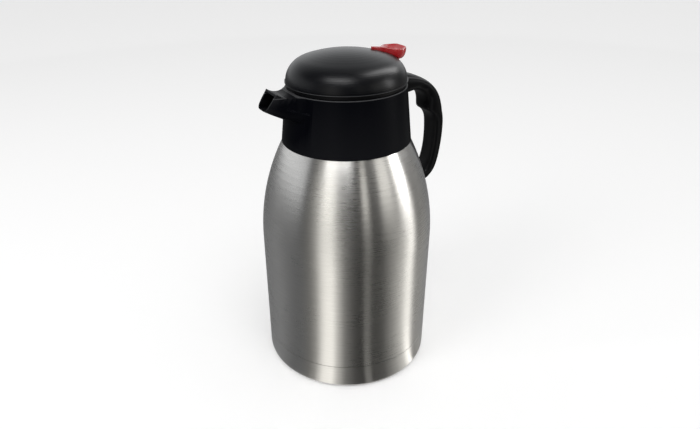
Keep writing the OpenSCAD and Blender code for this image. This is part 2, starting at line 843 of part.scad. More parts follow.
module dome_bulk(t) {
    rotate_extrude()
        intersection() {
            inset_side(dome_side, t);
            band(0, FAR);
        }
}

// The lever's outline from above, grown by g: a narrow front that flares to a broad rear
module lever_plan(g) {
    front_r = lever_front_w / 2;
    hull()
        for (x = [lever_front_x + front_r, lever_waist_x])
            translate([x, 0])
                circle(r = front_r + g);
    hull() {
        translate([lever_waist_x, 0])
            circle(r = front_r + g);
        for (side = [-1, 1])
            translate([lever_corner_x, side * lever_corner_y])
                circle(r = lever_corner_r + g);
    }
}

module lid_dome() {
    slot_x = dome_r - slot_fit;
    color([0.13, 0.13, 0.14])
        difference() {
            union() {
                rotate_extrude()
                    intersection() {
                        difference() {
                            polygon(dome_side);
                            inset_side(dome_side, dome_t);
                        }
                        band(dome_z, FAR);
                    }
                rotate_extrude()
                    translate([dome_r - bead_t, dome_z])
                        square([2 * bead_t, bead_h]);
                intersection() {
                    dome_bulk(dome_t / 2);
                    union() {
                        translate([0, 0, deck_top])
                            lid_bosses()
                                cylinder(d = boss_d, h = FAR);
                        for (side = [-1, 1])
                            translate([pin_x, side * (hub_half + ear_fit + ear_t / 2), pin_z]) {
                                translate([-hub_d / 2, -ear_t / 2, 0])
                                    cube([hub_d, ear_t, dome_corner_r]);
                                rotate([90, 0, 0])
                                    cylinder(d = hub_d, h = ear_t, center = true);
                            }
                    }
                }
            }
            intersection() {
                translate([0, 0, slot_z])
                    linear_extrude(height = FAR)
                        lever_plan(slot_fit);
                translate([0, -dome_r, 0])
                    cube([slot_x, 2 * dome_r, FAR]);
            }
            translate([0, 0, deck_z])
                lid_bosses()
                    cylinder(d = lid_screw_d, h = lid_screw_l);
            translate([pin_x, 0, pin_z])
                rotate([90, 0, 0])
                    cylinder(d = pin_d, h = ears_w, center = true);
        }
}

module lid_screws() {
    color("silver")
        translate([0, 0, deck_z])
            lid_bosses()
                screw(lid_screw_d, lid_screw_l, screw_head_d, screw_head_h);
}

module lever_pin() {
    color("silver")
        translate([pin_x, 0, pin_z])
            rotate([90, 0, 0])
                cylinder(d = pin_d, h = ears_w, center = true);
}

// ---- lever
function lever_top(x) = lever_rear_z
    + lever_fall * pow(max(0, lever_rear_x - x) / (lever_rear_x - lever_front_x), TOP_CURVE)
    + lever_lift * pow(max(0, x - lever_corner_x) / lever_corner_r, 2);

// The lever's body seen from the side: its top, its rounded rear and its neck in the slot
module lever_side() {
    polygon(concat(
        [for (x = steps(lever_front_x, lever_rear_x, LONG_ARC_N)) [x, lever_top(x)]],
        [for (a = steps(0, 90, ARC_N))
            [neck_x + (lever_rear_x - neck_x) * cos(a), neck_top_z + chin_h * (1 - sin(a))]],
        [[neck_x, neck_low_z], [web_x, neck_low_z],
         [web_x, front_low_z], [lever_front_x, front_low_z]]));
}

module lever() {
    color("crimson")
        difference() {
            union() {
                intersection() {
                    linear_extrude(height = FAR)
                        lever_plan(0);
                    rotate([90, 0, 0])
                        linear_extrude(height = 2 * dome_r, center = true)
                            lever_side();
                }
                translate([pin_x, 0, pin_z])
                    rotate([90, 0, 0])
                        cylinder(d = hub_d, h = 2 * hub_half, center = true);
                // the web between hub and body, and the arm that reaches under the stem's cap
                rotate([90, 0, 0])
                    linear_extrude(height = lever_front_w, center = true)
                        polygon([[pin_x - hub_d / 2, pin_z], [pin_x, front_low_z + web_lap],
                                 [web_x + web_t, front_low_z + web_lap],
                                 [web_x + web_t, neck_low_z], [pin_x, pin_z - hub_d / 2]]);
                rotate([90, 0, 0])
                    linear_extrude(height = 2 * hub_half, center = true)
                        polygon([[pin_x, pin_z - hub_d / 2], [pin_x, pin_z + hub_d / 4],
                                 [cap_d / 2 + tip_r, tip_z + tip_r / 2], [0, tip_z + tip_r / 2],
                                 [0, tip_z - tip_r / 2]]);
                translate([0, 0, tip_z])
                    rotate([90, 0, 0])
                        cylinder(r = tip_r, h = 2 * hub_half, center = true);
            }
            // the gap between the two prongs, for the stem
            translate([-cap_d / 2, -stem_d / 2 - fork_fit, tip_z - cap_d / 2])
                cube([cap_d / 2 + stem_d / 2 + 2 * fork_fit, stem_d + 2 * fork_fit, cap_d]);
            translate([pin_x, 0, pin_z])
                rotate([90, 0, 0])
                    cylinder(d = pin_d + 2 * pin_play, h = ears_w, center = true);
            thumb_scoop();
        }
}

// A hollow in the lever's top, broad and deep at the rear and shallow at the waist
module thumb_scoop() {
    rear_half = lever_corner_r - scoop_rim;
    rear_r = (pow(rear_half, 2) + pow(scoop_depth, 2)) / (2 * scoop_depth);
    front_x = lever_waist_x + lever_front_w / 2;
    front_r = lever_front_w;
    hull() {
        for (side = [-1, 1])
            translate([lever_corner_x, side * lever_corner_y,
                       lever_top(lever_corner_x) - scoop_depth + rear_r])
                sphere(r = rear_r, $fn = SMALL_FN);
        translate([front_x, 0, lever_top(front_x) - scoop_depth / 8 + front_r])
            sphere(r = front_r, $fn = SMALL_FN);
    }
}

// ---- valve
module valve_stem() {
    color("dimgray")
        union() {
            translate([0, 0, disc_z])
                cylinder(d = disc_d, h = disc_t);
            translate([0, 0, disc_z])
                cylinder(d = stem_d, h = cap_z - disc_z);
            translate([0, 0, cap_z])
                cylinder(d = tenon_d, h = cap_t - cap_skin_t);
            translate([0, 0, seal_z - button_t])
                cylinder(d = seal_bore_d, h = disc_z - seal_z + button_t);
            translate([0, 0, seal_z - button_t])
                cylinder(d = button_d, h = button_t);
        }
}

module valve_seal() {
    color("white")
        translate([0, 0, seal_z])
            difference() {
                cylinder(d = valve_seal_d, h = valve_seal_t);
                translate([0, 0, -SLICE])
                    cylinder(d = seal_bore_d, h = valve_seal_t + 2 * SLICE);
            }
}

module stem_cap() {
    color("dimgray")
        translate([0, 0, cap_z])
            difference() {
                cylinder(d = cap_d, h = cap_t);
                translate([0, 0, -SLICE])
                    cylinder(d = tenon_d, h = cap_t - cap_skin_t + SLICE);
            }
}

// A closed loop of wire points swept along a helix, as one polyhedron
module helix(d, wire, low, high, turns) {
    sides = 8;
    rings = 16 * turns;
    points = [for (k = [0:rings], j = [0:sides - 1])
        let (a = 360 * turns * k / rings, b = 360 * j / sides,
             r = d / 2 + wire / 2 * cos(b))
            [r * cos(a), r * sin(a), low + (high - low) * k / rings + wire / 2 * sin(b)]];
    walls = [for (k = [0:rings - 1], j = [0:sides - 1])
        let (a = k * sides + j, b = k * sides + (j + 1) % sides)
            [a, a + sides, b + sides, b]];
    polyhedron(points, concat(walls, [[for (j = [0:sides - 1]) j]],
        [[for (j = [sides - 1:-1:0]) rings * sides + j]]), convexity = 8);
}

module return_spring() {
    color("silver")
        helix(coil_d, wire_d, disc_top + wire_d, deck_z - wire_d, coil_n);
}

outer_shell();
base_cup();
foot_ring();
evacuation_seal();
getter();
inner_liner();
neck_gasket();
collar();
handle_shell();
handle_cover();
foot_bracket();
handle_screws();
stopper_ring();
stopper();
lid_dome();
lid_screws();
lever_pin();
lever();
valve_stem();
valve_seal();
stem_cap();
return_spring();
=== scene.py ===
# %% [markdown]
# # A thermal carafe with a thumb lever
#
# The carafe is a brushed steel flask with a black collar, spout, handle and domed lid, and a red
# thumb lever at the back of the dome. Its CAD model is loaded first and is the fixed frame:
# every piece made here sits where the CAD has it, and rides on the CAD body it belongs to.

# %% Load the frame
import math

import bmesh
import bpy
from mathutils import Matrix, Vector


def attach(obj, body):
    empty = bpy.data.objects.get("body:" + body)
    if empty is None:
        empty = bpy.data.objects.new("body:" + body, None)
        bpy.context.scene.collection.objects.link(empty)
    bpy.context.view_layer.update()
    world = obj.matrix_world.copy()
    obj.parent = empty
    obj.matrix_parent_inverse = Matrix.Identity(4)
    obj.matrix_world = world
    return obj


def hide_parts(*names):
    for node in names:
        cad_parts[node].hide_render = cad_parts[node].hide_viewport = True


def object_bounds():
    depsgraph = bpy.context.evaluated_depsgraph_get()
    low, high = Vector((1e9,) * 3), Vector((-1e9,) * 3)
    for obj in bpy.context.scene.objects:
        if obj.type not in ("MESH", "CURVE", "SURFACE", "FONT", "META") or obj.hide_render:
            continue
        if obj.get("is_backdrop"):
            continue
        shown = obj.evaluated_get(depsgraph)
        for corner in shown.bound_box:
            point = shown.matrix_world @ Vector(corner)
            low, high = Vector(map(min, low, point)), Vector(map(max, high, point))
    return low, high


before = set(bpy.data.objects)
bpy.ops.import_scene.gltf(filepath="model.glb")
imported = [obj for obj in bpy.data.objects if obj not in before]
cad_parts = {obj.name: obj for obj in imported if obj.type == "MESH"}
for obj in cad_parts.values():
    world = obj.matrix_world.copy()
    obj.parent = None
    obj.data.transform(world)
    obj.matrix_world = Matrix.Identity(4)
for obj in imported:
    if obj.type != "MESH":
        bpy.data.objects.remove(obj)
cad_box = [list(corner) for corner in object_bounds()]
MM = 0.001
WELD = 0.02 * MM
print("CAD box in mm:", [[round(v / MM, 1) for v in corner] for corner in cad_box])

# %% [markdown]
# Nearly every outer piece is round or is swept along a line. Two ways of working cover them.
# A round piece starts as one point, which is extruded along half of its outline and then spun
# about the axis. A swept piece starts as a circle, which is pulled into the first section and
# extruded from one section to the next.

# %% Helpers to start, name and finish a piece
def start_fresh():
    """Object mode with nothing selected, because an operator acts on all that is selected."""
    if bpy.context.object and bpy.context.object.mode != "OBJECT":
        bpy.ops.object.mode_set(mode="OBJECT")
    bpy.ops.object.select_all(action="DESELECT")


def named(name):
    piece = bpy.context.object
    piece.name = piece.data.name = name
    return piece


def pick(piece):
    start_fresh()
    piece.select_set(True)
    bpy.context.view_layer.objects.active = piece


def edit(piece):
    """Edit mode with all points selected."""
    pick(piece)
    bpy.ops.object.mode_set(mode="EDIT")
    bpy.ops.mesh.select_mode(type="VERT")
    bpy.ops.mesh.select_all(action="SELECT")


def merge_and_face_out(piece):
    edit(piece)
    bpy.ops.mesh.remove_doubles(threshold=WELD)
    bpy.ops.mesh.normals_make_consistent(inside=False)
    bpy.ops.object.mode_set(mode="OBJECT")


def modify(piece, kind, **values):
    """Adds a modifier and applies it."""
    pick(piece)
    modifier = piece.modifiers.new(kind.title(), kind)
    for key, value in values.items():
        setattr(modifier, key, value)
    bpy.ops.object.modifier_apply(modifier=modifier.name)


def smooth(piece, angle):
    """Shades smooth across edges that turn less than angle, in degrees."""
    pick(piece)
    bpy.ops.object.shade_smooth_by_angle(angle=math.radians(angle))
    faces = len(piece.data.polygons)
    size = [round(v / MM, 1) for v in piece.dimensions]
    print(f"{piece.name}: {faces} faces, {size} mm")


def blunt(piece, width):
    """Rounds the sharp edges by a width in mm."""
    modify(piece, "BEVEL", width=width * MM, segments=2, limit_method="ANGLE",
           angle_limit=math.radians(50))


def rod(name, radius, length, x, z, sides=48):
    """A round rod along Y at a place on the mirror plane, in mm."""
    start_fresh()
    bpy.ops.mesh.primitive_cylinder_add(vertices=sides, radius=radius * MM, depth=length * MM,
                                        location=(x * MM, 0, z * MM),
                                        rotation=(math.pi / 2, 0, 0))
    return named(name)


# %% Helpers to spin a round piece and to sweep a section
def spin_up(name, outline, steps=192):
    """A round piece: one point extruded along half of its outline, then spun about the axis.
    outline holds (distance from the axis, height) in mm."""
    start_fresh()
    bpy.ops.mesh.primitive_plane_add(size=MM)
    piece = named(name)
    edit(piece)
    bpy.ops.mesh.merge(type="CENTER")
    here = Vector((0, 0, 0))
    for k, (r, z) in enumerate(outline):
        there = Vector((r * MM, 0, z * MM))
        if k == 0:
            bpy.ops.transform.translate(value=there - here)
        else:
            bpy.ops.mesh.extrude_region_move(TRANSFORM_OT_translate={"value": there - here})
        here = there
    bpy.ops.mesh.select_all(action="SELECT")
    bpy.ops.mesh.spin(steps=steps, angle=math.tau, center=(0, 0, 0), axis=(0, 0, 1))
    merge_and_face_out(piece)
    return piece


def sweep(name, rings):
    """A swept piece: a circle pulled into the first ring and extruded to each next ring.
    rings holds rows of points in mm, with as many points in each."""
    start_fresh()
    bpy.ops.mesh.primitive_circle_add(vertices=len(rings[0]), radius=MM, fill_type="NGON")
    piece = named(name)
    edit(piece)
    mesh = bmesh.from_edit_mesh(piece.data)
    for k, ring in enumerate(rings):
        if k > 0:
            bpy.ops.mesh.extrude_region_move()
            mesh = bmesh.from_edit_mesh(piece.data)
        face = next(f for f in mesh.faces if f.select)
        for vert, point in zip(list(face.verts), ring):
            vert.co = Vector(point) * MM
        bmesh.update_edit_mesh(piece.data)
    bpy.ops.object.mode_set(mode="OBJECT")
    merge_and_face_out(piece)
    return piece


def cut(piece, cutter, operation="DIFFERENCE"):
    """Takes the cutter out of the piece, or joins it on, and throws the cutter away."""
    modify(piece, "BOOLEAN", object=cutter, operation=operation, solver="EXACT")
    bpy.data.objects.remove(cutter, do_unlink=True)


# %% Helpers for outlines
def between(a, b, n):
    return [a + (b - a) * k / n for k in range(n + 1)]


def arc(x, y, r, start, end, n):
    """Points on an arc, angles in degrees."""
    turns = [math.radians(t) for t in between(start, end, n)]
    return [(x + r * math.cos(t), y + r * math.sin(t)) for t in turns]


# %% [markdown]
# ## Collar and spout
#
# The real collar is one moulding: a tapered band with the spout growing out of it, open on top
# where the lid screws in. The band is spun and the spout is swept, and a Boolean joins them. The
# spout's sections flare as they near the band, so that its sides run into the band without a
# crease, as a moulded root does.

# %% The band of the collar
LEDGE_Z, RIM_Z = 195.5, 237.7
FOOT_R, RIM_R = 50.3, 45.9
WALL = 2.5
NECK_R = 38.0
MOUTH_R = 36.8
FLOOR_Z, FLOOR_TOP = 217.6, 219.8
SKIRT_Z, SKIRT_GAP, SKIRT_T = 209.1, 0.2, 2.0
SEAT_R, SEAT_Z = 43.0, 231.5
RIDGES = (235.9, 232.9)
RIM_ROUND = 0.9


def collar_r(z):
    return FOOT_R + (RIM_R - FOOT_R) * (z - LEDGE_Z) / (RIM_Z - LEDGE_Z)


def ridge(z):
    """The outline of one thread ridge, going down the inside of the rim."""
    return [(SEAT_R, z + 1.4), (SEAT_R - 0.8, z + 1.05), (SEAT_R - 0.8, z + 0.35), (SEAT_R, z)]


collar_outline = (
    [(FOOT_R - 0.3, LEDGE_Z), (FOOT_R, LEDGE_Z + 0.3)]
    + arc(RIM_R - RIM_ROUND, RIM_Z - RIM_ROUND, RIM_ROUND, 6, 84, 6)
    + [(SEAT_R + 0.5, RIM_Z), (SEAT_R, RIM_Z - 0.5)]
    + ridge(RIDGES[0])
    + ridge(RIDGES[1])
    + [(SEAT_R, SEAT_Z), (collar_r(SEAT_Z) - WALL, SEAT_Z)]
    + [(collar_r(FLOOR_TOP) - WALL, FLOOR_TOP), (MOUTH_R, FLOOR_TOP), (MOUTH_R, FLOOR_Z)]
    + [(NECK_R + SKIRT_GAP, FLOOR_Z), (NECK_R + SKIRT_GAP, SKIRT_Z)]
    + [(NECK_R + SKIRT_GAP + SKIRT_T, z) for z in (SKIRT_Z, FLOOR_Z)]
    + [(collar_r(FLOOR_Z) - WALL, FLOOR_Z)]
    + [(FOOT_R - WALL, LEDGE_Z), (FOOT_R - 0.3, LEDGE_Z)]
)
collar = spin_up("collar_and_spout", collar_outline)

# %% The spout's sections
MOUTH_X, MOUTH_Z, LEAN = 60.3, 240.0, math.radians(35)


def trough(top, low, high, r, sag=0.0):
    """A trough's outline: flat top at zero, straight sides, round lower corners."""
    right = [(top / 2, 0.0), (top / 4 + low / 4, -high / 2 + sag)]
    right += arc(low / 2 - r, r - high, r, 0, -90, 6)
    return right + [(-y, z) for y, z in right[::-1]]


def stand(x, z, lean, outline):
    """Stands an outline up across the spout, with its top at height z."""
    return [(-x + w * math.sin(lean), y, z + w * math.cos(lean)) for y, w in outline]


spout = sweep("spout", [
    stand(37.5, RIM_Z - 0.3, 0.0, trough(52.0, 56.0, 20.9, 9.0)),
    stand(40.5, RIM_Z - 0.3, 0.0, trough(43.0, 48.0, 20.7, 9.0)),
    stand(42.5, RIM_Z - 0.3, 0.05, trough(36.0, 42.0, 20.4, 9.0)),
    stand(44.3, RIM_Z - 0.2, 0.1, trough(31.0, 37.0, 19.9, 9.0)),
    stand(46.5, RIM_Z, 0.17, trough(27.6, 32.6, 19.2, 8.6)),
    stand(49.0, RIM_Z + 0.3, 0.25, trough(25.2, 29.4, 18.3, 8.0)),
    stand(52.0, RIM_Z + 0.8, 0.35, trough(23.4, 26.2, 17.2, 7.0)),
    stand(56.0, RIM_Z + 1.5, 0.48, trough(21.4, 22.2, 15.9, 6.0)),
    stand(MOUTH_X, MOUTH_Z, LEAN, trough(19.4, 17.6, 14.6, 5.0))])
INSIDE_LOW, INSIDE_HIGH = 190, 250
cut(spout, spin_up("inside_of_band", [
    (0, INSIDE_LOW), (collar_r(INSIDE_LOW) - 1, INSIDE_LOW),
    (collar_r(INSIDE_HIGH) - 1, INSIDE_HIGH), (0, INSIDE_HIGH)]))
cut(collar, spout, "UNION")

# %% The pour chamber's way out, and the dish across the spout's top
channel = sweep("channel", [
    stand(39.0, SEAT_Z - 0.4, 0.0, trough(26.0, 26.0, 10.0, 3.0)),
    stand(MOUTH_X + 2.0, MOUTH_Z - 1.0, LEAN, trough(15.4, 13.6, 12.6, 3.0))])
cut(collar, channel)
DISH_R, DISH_X, DISH_Z = 16.0, -50.0, 252.6
cut(collar, rod("dish", DISH_R, 60.0, DISH_X, DISH_Z, 96))
merge_and_face_out(collar)
smooth(collar, 32)
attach(collar, "vessel")
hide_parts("collar")

# %% [markdown]
# ## Handle
#
# The handle is a loop of moulded plastic in two parts: a channel with a round back, and a cover
# that closes it on the side of the fingers. Under the arm the loop thickens into a rest for the
# index finger. Both parts are swept through the same stations, so the seam between them stays
# closed all the way round.

# %% Stations of the handle
# Outer point, inner point and width of each section, from the collar round to the foot, in mm.
stations = [
    (44, 240.2, 44, 223.4, 25), (52, 239.2, 52, 225, 24), (59, 237.4, 57.6, 225.8, 23),
    (66.4, 234.2, 62, 224.8, 22), (73, 230, 65.8, 222.6, 22), (78.8, 224.4, 68.2, 219.4, 22),
    (83, 217.8, 69.4, 215, 22), (85.9, 210, 69.4, 211, 21.6), (86.9, 206, 70.2, 208, 21.2),
    (87.8, 201.6, 75.2, 204.2, 20.6), (88.5, 196, 78.3, 198.6, 19.8),
    (88.9, 189, 79.2, 189.4, 19), (88.7, 180.4, 79.2, 180.4, 18.4), (87.9, 172, 78.6, 172.6, 18),
    (86.6, 164.6, 77.5, 165.8, 18), (84.8, 158, 76, 160.4, 18), (82.2, 152.6, 74.2, 156.6, 18),
    (78.4, 148.4, 71.8, 154.2, 18), (74, 145.6, 69, 153, 18), (64, 143.4, 64, 152.6, 18)]
COVER = 3.0  # depth of the cover from the inner point
SQUARE = 3.0  # 2 is an ellipse, and more is squarer
SHELL_R, SHOULDER_R, SHOULDER_Z = 70.1, 175, 114
DOME_EDGE_R = 46.6


def curve_through(rows, steps):
    """Rows of numbers with smooth ones put in between, by a curve through them all."""
    full = []
    for k in range(len(rows) - 1):
        a, b, c, d = (rows[min(max(j, 0), len(rows) - 1)] for j in (k - 1, k, k + 1, k + 2))
        for s in range(steps):
            t = s / steps
            full.append([
                0.5 * (2 * q + (r - p) * t + (2 * p - 5 * q + 4 * r - w) * t ** 2
                       + (3 * q - p - 3 * r + w) * t ** 3)
                for p, q, r, w in zip(a, b, c, d)])
    return full + [list(rows[-1])]


def handle_ring(row, outer, points=24):
    """The part of a station's rounded section that lies outside or inside the cover's depth."""
    ox, oz, ix, iz, wide = row
    ex, ez = ox - ix, oz - iz
    thick = math.hypot(ex, ez)
    k = (COVER - thick / 2) / (thick / 2)
    edge = math.acos(math.copysign(abs(k) ** (SQUARE / 2), k))
    turns = between(-edge, edge, points) if outer else between(edge, math.tau - edge, points)
    ring = []
    for a in turns:
        u = math.copysign(abs(math.cos(a)) ** (2 / SQUARE), math.cos(a)) / 2
        v = math.copysign(abs(math.sin(a)) ** (2 / SQUARE), math.sin(a)) * wide / 2
        ring.append(((ox + ix) / 2 + u * ex, v, (oz + iz) / 2 + u * ez))
    return ring


def handle_stops():
    """What the handle's ends are cut back to: the collar, the dome and the shell."""
    shoulder = [(SHELL_R - SHOULDER_R + math.sqrt(SHOULDER_R ** 2 - (z - SHOULDER_Z) ** 2), z)
                for z in between(SHOULDER_Z, 194.5, 24)]
    outline = [(0, 100), (SHELL_R, 100)] + shoulder
    outline += [(FOOT_R + 0.1, 194.6), (RIM_R + 0.1, RIM_Z + 0.1), (DOME_EDGE_R, RIM_Z + 0.1)]
    outline += [(DOME_EDGE_R, 260), (0, 260)]
    return spin_up("handle_stops", outline)


smooth_stations = curve_through(stations, 4)
handle = sweep("handle_back", [handle_ring(row, True) for row in smooth_stations])
cover = sweep("handle_cover_strip", [handle_ring(row, False) for row in smooth_stations])
for piece, node, plastic in ((handle, "handle_shell", "handle_plastic"),
                             (cover, "handle_cover", "cover_plastic")):
    cut(piece, handle_stops())
    blunt(piece, 0.45)
    smooth(piece, 40)
    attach(piece, "vessel")
    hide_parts(node)

# %% [markdown]
# ## Thumb lever
#
# The lever is a red moulding shaped like a spoon from above: a narrow front, a waist from which
# it flares, and a broad rear with a scoop for the thumb. Its outline is swept from the underside
# up to the rim, over the rim and down into the scoop, and a subdivision rounds it. Inside the
# dome a hub turns on the pin, and two prongs reach forward under the cap of the valve stem.

# %% The lever's body
FRONT_X, WAIST_X, REAR_X = 21.5, 31.0, 48.4
FRONT_R, CORNER_R, CORNER_Y = 2.0, 7.0, 4.3
CORNER_X = REAR_X - CORNER_R
FRONT_Z, REAR_Z = 262.4, 260.0
PIN_X, PIN_Z = 24.0, 253.0
SCOOP_DEPTH = 2.2
BELLY_X, BELLY_Z, BELLY_RISE = 40.0, 252.5, 6.5


def spoon(inset):
    """The lever's outline from above, moved in by inset, and by less at its narrow front."""
    corner, front = CORNER_R - inset, FRONT_R - 0.4 * inset
    way, reach = math.atan2(CORNER_Y, CORNER_X - WAIST_X), math.hypot(CORNER_X - WAIST_X, CORNER_Y)
    flank = math.degrees(way + math.acos((FRONT_R - CORNER_R) / reach))
    half = [(REAR_X - inset, y) for y in between(0, CORNER_Y, 3)[:-1]]
    half += arc(CORNER_X, CORNER_Y, corner, 0, flank, 10)
    side = half[-1]
    half += [(side[0] + (WAIST_X - side[0]) * t, side[1] + (front + 0.6 - side[1]) * t)
             for t in (0.3, 0.6, 0.88)]
    half += [(x, front) for x in between(WAIST_X - 1.6, FRONT_X + FRONT_R, 3)]
    half += arc(FRONT_X + FRONT_R, 0, front, 112, 180, 3)
    return half + [(x, -y) for x, y in half[-2:0:-1]]


def lever_top(x):
    """The height of the rim: it falls from the front and turns up again at the rear."""
    far = max(0.0, REAR_X - x) / (REAR_X - FRONT_X)
    return REAR_Z + (FRONT_Z - REAR_Z) * far ** 1.6 + (max(0.0, x - CORNER_X) / CORNER_R) ** 2


def scoop(x):
    """How deep the scoop is at x: nothing at the waist, and all of it from the corners back."""
    t = min(1.0, max(0.0, (x - WAIST_X) / (CORNER_X - 4.0 - WAIST_X)))
    return SCOOP_DEPTH * t * t * (3 - 2 * t)


def lever_ring(inset, height):
    return [(x, y, height(x)) for x, y in spoon(inset)]


def underside(x):
    """The height of the lever's underside: flat at the front and rounded up at the rear."""
    along = min(1.0, max(0.0, (x - BELLY_X) / (REAR_X - BELLY_X)))
    return BELLY_Z + BELLY_RISE * (1 - math.sqrt(1 - along ** 2))


lever = sweep("thumb_lever", [
    lever_ring(2.6, underside),
    lever_ring(0.9, lambda x: underside(x) + 0.6),
    lever_ring(0.0, lambda x: min(underside(x) + 2.6, lever_top(x) - 1.3)),
    lever_ring(0.0, lambda x: lever_top(x) - 0.5),
    lever_ring(0.3, lambda x: lever_top(x)),
    lever_ring(1.0, lambda x: lever_top(x) - 0.06 * scoop(x)),
    lever_ring(1.7, lambda x: lever_top(x) - 0.35 * scoop(x)),
    lever_ring(3.2, lambda x: lever_top(x) - 0.8 * scoop(x)),
    lever_ring(4.8, lambda x: lever_top(x) - scoop(x))])
modify(lever, "SUBSURF", levels=2, render_levels=2)

# %% The lever's works inside the dome
HUB_R, HUB_W, PIN_HOLE_R = 3.2, 13.8, 1.58


def plate(name, side, half_width):
    """A plate with an outline of (x, z), as wide to each side of the mirror plane."""
    return sweep(name, [[(x, y, z) for x, z in side] for y in (-half_width, half_width)])


hub = rod("lever_works", HUB_R, HUB_W, PIN_X, PIN_Z)
bpy.ops.object.transform_apply(location=True, rotation=True, scale=True)
prong_side = [(24.0, 249.9), (24.0, 254.4), (9.8, 249.7), (0.6, 250.5), (-1.6, 249.8),
              (-2.2, 248.5), (-1.4, 246.9), (0.4, 246.4), (2.0, 246.9)]
cut(hub, plate("prongs", prong_side, HUB_W / 2), "UNION")
web_side = [(20.8, 253.0), (24.0, 258.4), (34.0, 258.4), (34.0, 249.2), (30.0, 249.1),
            (24.0, 249.8)]
cut(hub, plate("web", web_side, 2.0), "UNION")
neck_plan = [(30.2, 2.0), (38.8, 9.2), (39.9, 9.8), (39.9, -9.8), (38.8, -9.2), (30.2, -2.0)]
cut(hub, sweep("neck", [[(x, y, z) for x, y in neck_plan] for z in (249.1, 256.0)]), "UNION")
cut(hub, rod("pin_hole", PIN_HOLE_R, 30.0, PIN_X, PIN_Z))
FORK_X, FORK_Z, FORK_SIZE = -1.45, 248.5, (12.1, 7.6, 15)
start_fresh()
bpy.ops.mesh.primitive_cube_add(size=1, location=(FORK_X * MM, 0, FORK_Z * MM))
fork_gap = named("fork_gap")
fork_gap.scale = [length * MM for length in FORK_SIZE]
bpy.ops.object.transform_apply(location=True, rotation=True, scale=True)
cut(hub, fork_gap)
blunt(hub, 0.3)
for piece in (lever, hub):
    merge_and_face_out(piece)
    smooth(piece, 40)
    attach(piece, "lever")
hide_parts("lever")
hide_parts("lever")

# %% [markdown]
# ## Finishes
#
# Each finish is made of noise on the piece's own coordinates, so that it stays put when the piece
# moves. The black plastic has a fine spark-eroded grain and slightly uneven gloss. The steel is
# brushed ring-wise: its lines are much finer along the axis than round it, and its highlights
# stretch across the lines, which the shader's anisotropy does with a tangent about the axis.

# %% Helpers that build a finish
def maths(tree, operation, *values):
    """The output of a new Math node. Each value is an output of another node, or a number."""
    node = tree.nodes.new("ShaderNodeMath")
    node.operation = operation
    for socket, value in zip(node.inputs, values):
        if isinstance(value, (int, float)):
            socket.default_value = value
        else:
            tree.links.new(value, socket)
    return node.outputs["Value"]


def painted_rim_highlight(tree, place, share, rim_highlight_heights):
    """Adds 1 to a share of edge lightening at the heights between two values, in mm: a painted
    highlight line along a rim.
    """
    apart = tree.nodes.new("ShaderNodeSeparateXYZ")
    tree.links.new(place.outputs["Object"], apart.inputs["Vector"])
    middle, half = (rim_highlight_heights[0] + rim_highlight_heights[1]) / 2 * MM, (rim_highlight_heights[1] - rim_highlight_heights[0]) / 2 * MM
    near = maths(tree, "COMPARE", apart.outputs["Z"], middle, half)
    return maths(tree, "MAXIMUM", share, near)


